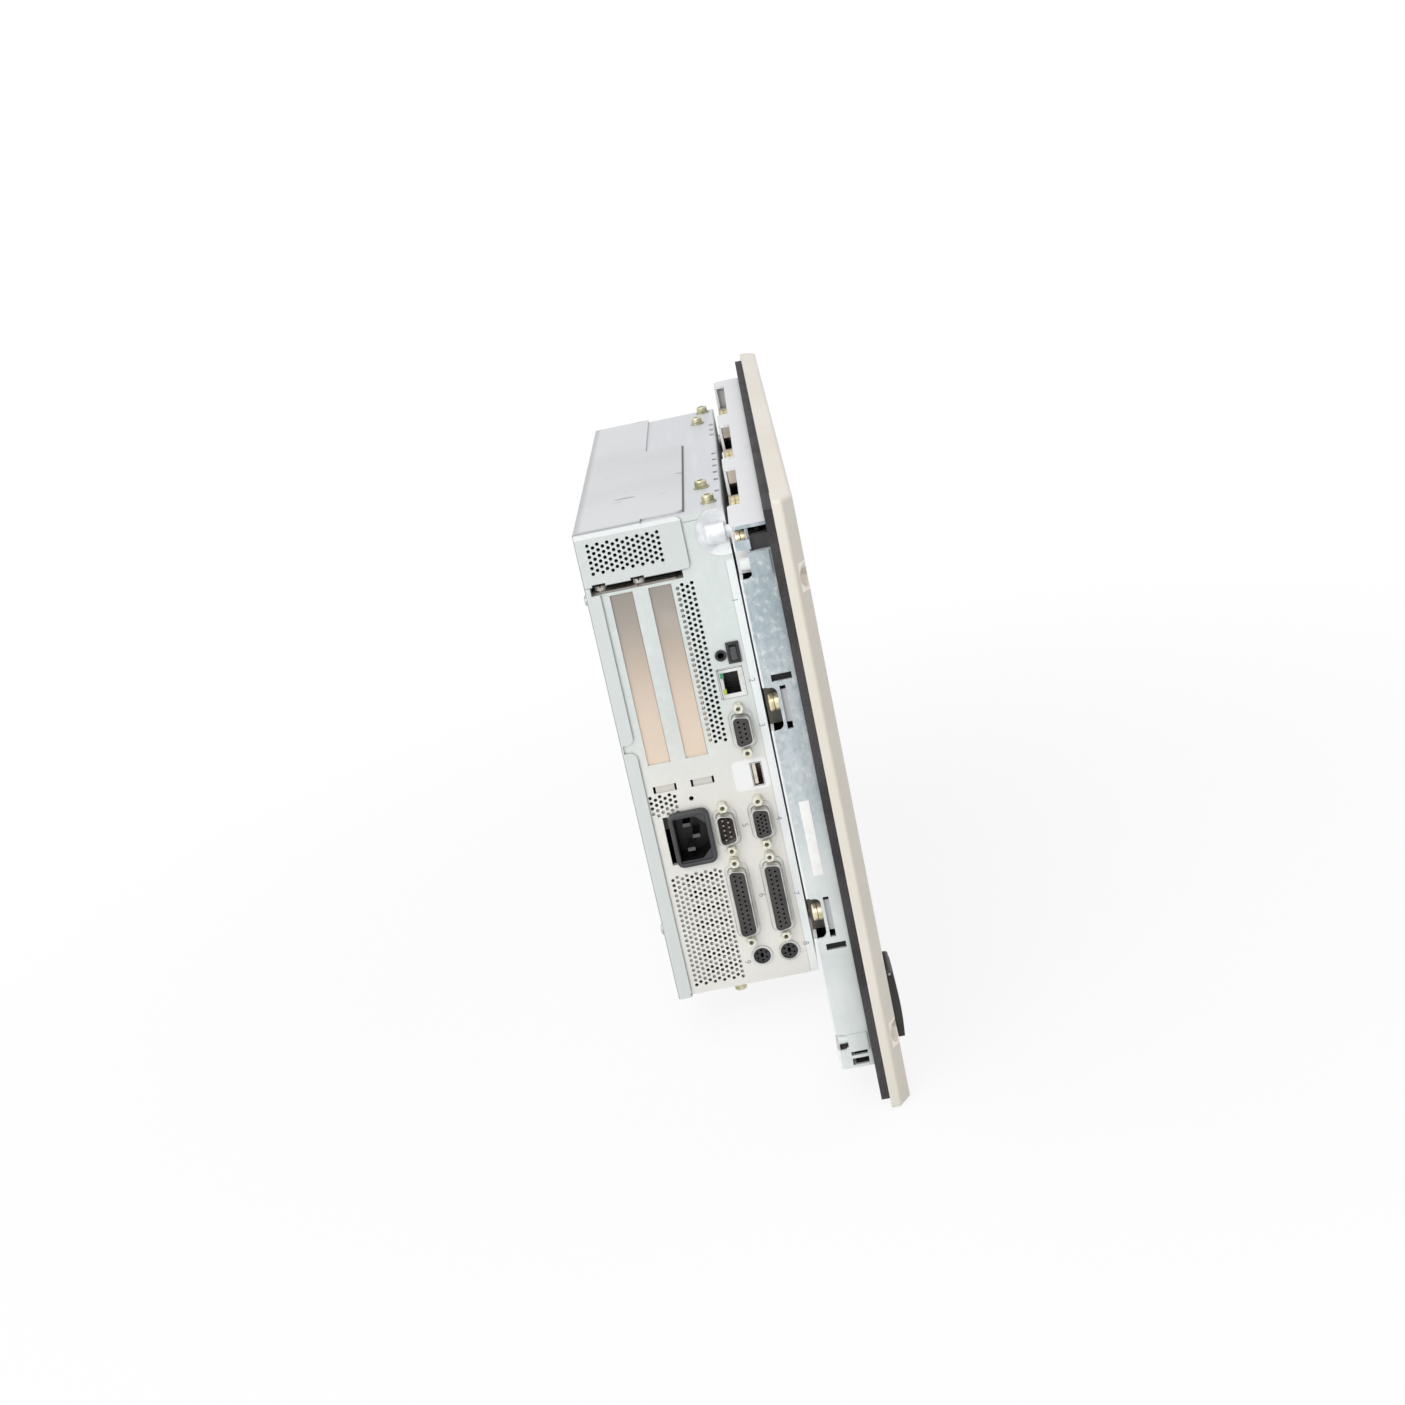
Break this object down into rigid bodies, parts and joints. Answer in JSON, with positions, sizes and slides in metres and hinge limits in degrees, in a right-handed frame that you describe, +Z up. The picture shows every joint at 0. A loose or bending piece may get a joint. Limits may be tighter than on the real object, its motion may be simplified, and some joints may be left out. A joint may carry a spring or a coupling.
{
  "type": "industrial pc",
  "caption": "Rack-width panel computer: cream front with screen and service flap, galvanised operator frame, and a sheet-metal unit with ports, card slots, disc tray and fans.",
  "frame": {"origin": "centre of the four rack holes, on the rear face of the front panel", "axes": "+X along the front's width, towards the disc tray's side; +Y from the front into the cabinet; +Z up the front"},
  "size_m": [0.483, 0.1188, 0.3112],
  "materials": {
    "front_paint": "satin cream powder coat on an aluminium plate",
    "front_film": "fine textured printed film, plain grey",
    "touch_glass": "clear anti-glare glass",
    "lcd_metal": "thin bright can over a light guide",
    "lcd_screen": "dark polariser",
    "gasket_foam": "dark closed-cell foam",
    "frame_zinc": "galvanised, mottled spangle",
    "yellow_zinc": "yellow passivated zinc",
    "white_plastic": "moulded white nylon",
    "label_white": "bare white label stock",
    "board_green": "solder mask over glass fibre",
    "tinned_steel": "bright tin plate",
    "flap_black": "soft black elastomer",
    "pin_steel": "plain drawn wire",
    "box_steel": "zinc plated sheet",
    "cover_steel": "zinc plated sheet, slightly warmer",
    "bracket_steel": "bright plated steel that mirrors its surroundings",
    "silver_screw": "zinc plated",
    "heatsink_aluminium": "extruded, plain",
    "insert_grey": "dark grey moulded plastic",
    "insert_black": "black moulded plastic",
    "gold_contact": "gold flashed",
    "inlet_black": "black moulded plastic",
    "fan_black": "black moulded plastic",
    "tray_plastic": "dark moulded plastic",
    "hinge_metal": "bright zinc plated casting",
    "disk_metal": "cast housing with a bright lid"
  },
  "bodies": {
    "housing": {"front_bezel": "front_paint", "front_film": "front_film", "touch_glass": "touch_glass", "lcd_module": "lcd_metal", "lcd_screen": "lcd_screen", "panel_gasket": "gasket_foam", "rear_frame": "frame_zinc", "frame_studs": "yellow_zinc", "frame_nuts": "yellow_zinc", "frame_spacers": "white_plastic", "blank_label": "label_white", "display_carrier": "frame_zinc", "backlight_inverter": "board_green", "usb_sockets": "tinned_steel", "usb_inserts": "insert_black", "flap_base": "flap_black", "flap_pin": "pin_steel", "unit_spacers": "silver_screw", "port_plate": "box_steel", "corner_hinge": "hinge_metal", "unit_chassis": "box_steel", "rear_cover": "cover_steel", "yellow_screws": "yellow_zinc", "cover_screws": "silver_screw", "card_shelf": "box_steel", "card_brackets": "bracket_steel", "card_screws": "silver_screw", "main_board": "board_green", "board_posts": "silver_screw", "processor_heatsink": "heatsink_aluminium", "memory_module": "board_green", "riser_board": "board_green", "port_board": "board_green", "dsub_shells": "tinned_steel", "dsub_inserts": "insert_grey", "serial_insert": "insert_black", "serial_pins": "gold_contact", "jack_screws": "yellow_zinc", "round_socket_inserts": "insert_black", "socket_collars": "tinned_steel", "network_jack": "tinned_steel", "network_contacts": "gold_contact", "switch_frame": "insert_black", "audio_jack": "insert_black", "supply_case": "box_steel", "supply_board": "board_green", "power_inlet": "inlet_black", "inlet_pins": "tinned_steel", "case_fan_frame": "fan_black", "supply_fan_frame": "fan_black", "disc_drive": "tinned_steel", "disk_bridge": "box_steel", "hard_disk": "disk_metal"},
    "flap": {"front_flap": "flap_black"},
    "rocker": {"power_rocker": "insert_grey"},
    "tray": {"disc_tray": "tray_plastic"},
    "eject": {"eject_button": "tray_plastic"},
    "case_fan": {"case_fan_rotor": "fan_black"},
    "supply_fan": {"supply_fan_rotor": "fan_black"}
  },
  "joints": [
    {"name": "flap_hinge", "type": "hinge", "parent": "housing", "child": "flap", "pos_m": [-0.208, -0.0117, -0.094], "axis": [-1, 0, 0], "range_deg": [0, 120]},
    {"name": "rocker_tilt", "type": "hinge", "parent": "housing", "child": "rocker", "pos_m": [-0.12, 0.034, 0.0559], "axis": [0, 1, 0], "range_deg": [0, 16]},
    {"name": "tray_slide", "type": "slide", "parent": "housing", "child": "tray", "axis": [1, 0, 0], "range_m": [0, 0.12]},
    {"name": "eject_press", "type": "slide", "parent": "tray", "child": "eject", "axis": [-1, 0, 0], "range_m": [0, 0.001], "stiffness_N_per_m": 200, "springref_m": -0.0005},
    {"name": "case_fan_spin", "type": "hinge", "parent": "housing", "child": "case_fan", "pos_m": [0.17, 0.0582, -0.09], "axis": [1, 0, 0], "continuous": true},
    {"name": "supply_fan_spin", "type": "hinge", "parent": "housing", "child": "supply_fan", "pos_m": [0.035, 0.0806, -0.076], "axis": [1, 0, 0], "continuous": true}
  ]
}
